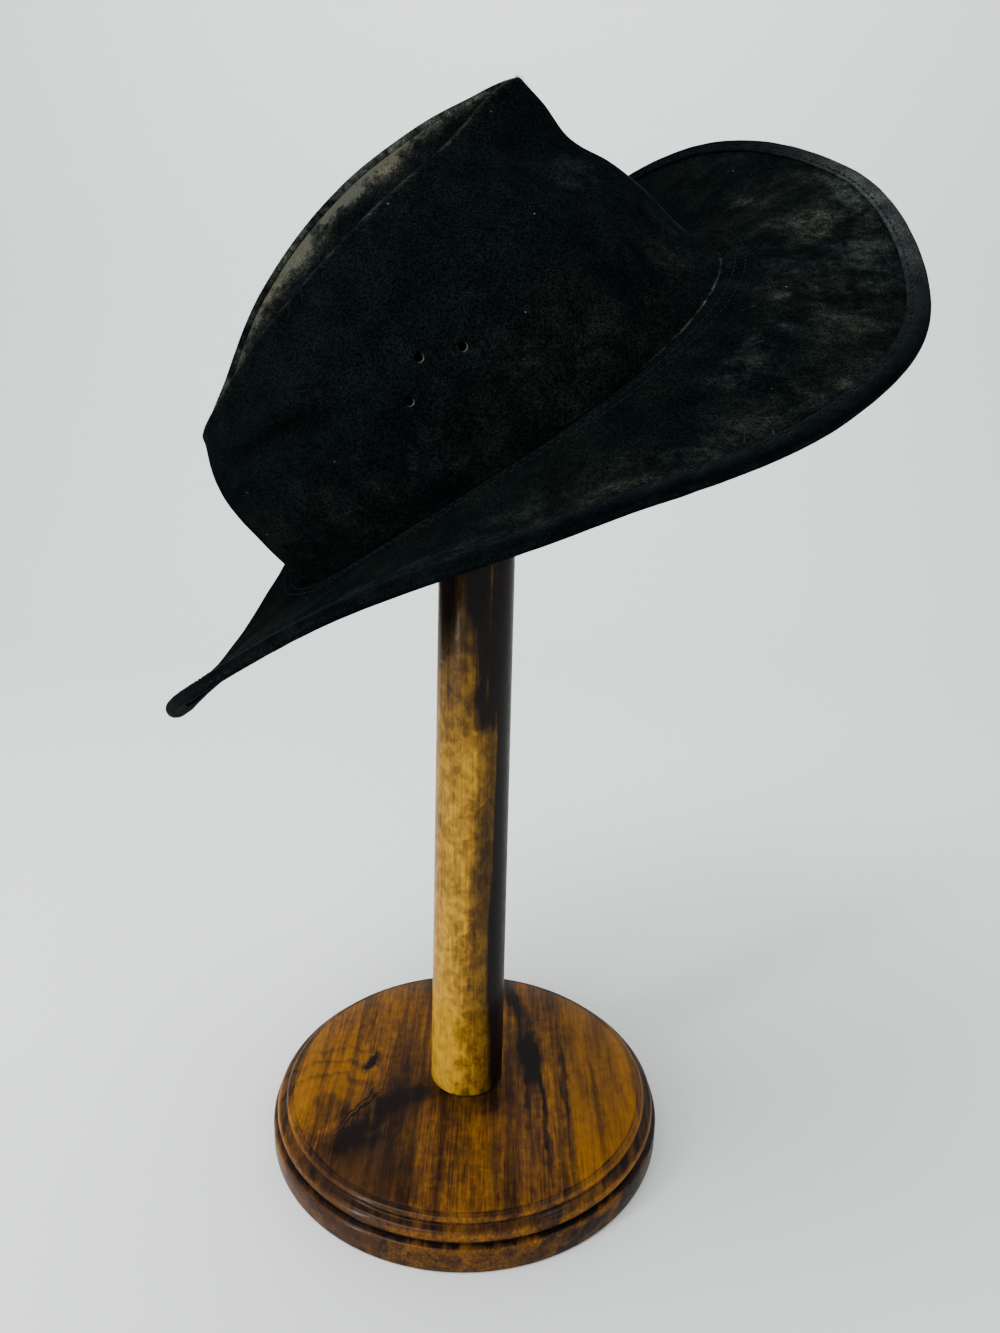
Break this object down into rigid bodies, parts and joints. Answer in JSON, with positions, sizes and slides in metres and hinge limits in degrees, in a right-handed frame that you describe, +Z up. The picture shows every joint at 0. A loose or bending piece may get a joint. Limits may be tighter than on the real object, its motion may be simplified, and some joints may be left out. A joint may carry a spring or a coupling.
{
  "type": "leather bush hat on a wooden stand",
  "caption": "Black suede leather hat with a sewn, pinched crown and a wide bound brim, held tilted back on a round turned wooden stand.",
  "frame": {"origin": "centre of the stand base's underside, on the surface that it stands on", "axes": "+Z up along the post, +X the way the hat faces, -Y the hat's right side"},
  "size_m": [0.2751, 0.2825, 0.4412],
  "materials": {
    "suede": "matte suede nap, black, with grey-brown wear",
    "worn_suede": "matte suede nap, black worn to brown",
    "binding": "smoother folded leather strip, black",
    "varnished_wood": "satin varnish over golden-brown wood with dark grain"
  },
  "bodies": {
    "root": {"crown_side_right": "suede", "crown_side_left": "suede", "crown_top": "worn_suede", "brim": "suede", "brim_binding": "binding", "stand_base": "varnished_wood", "stand_post": "varnished_wood", "stand_head": "varnished_wood"}
  },
  "joints": []
}
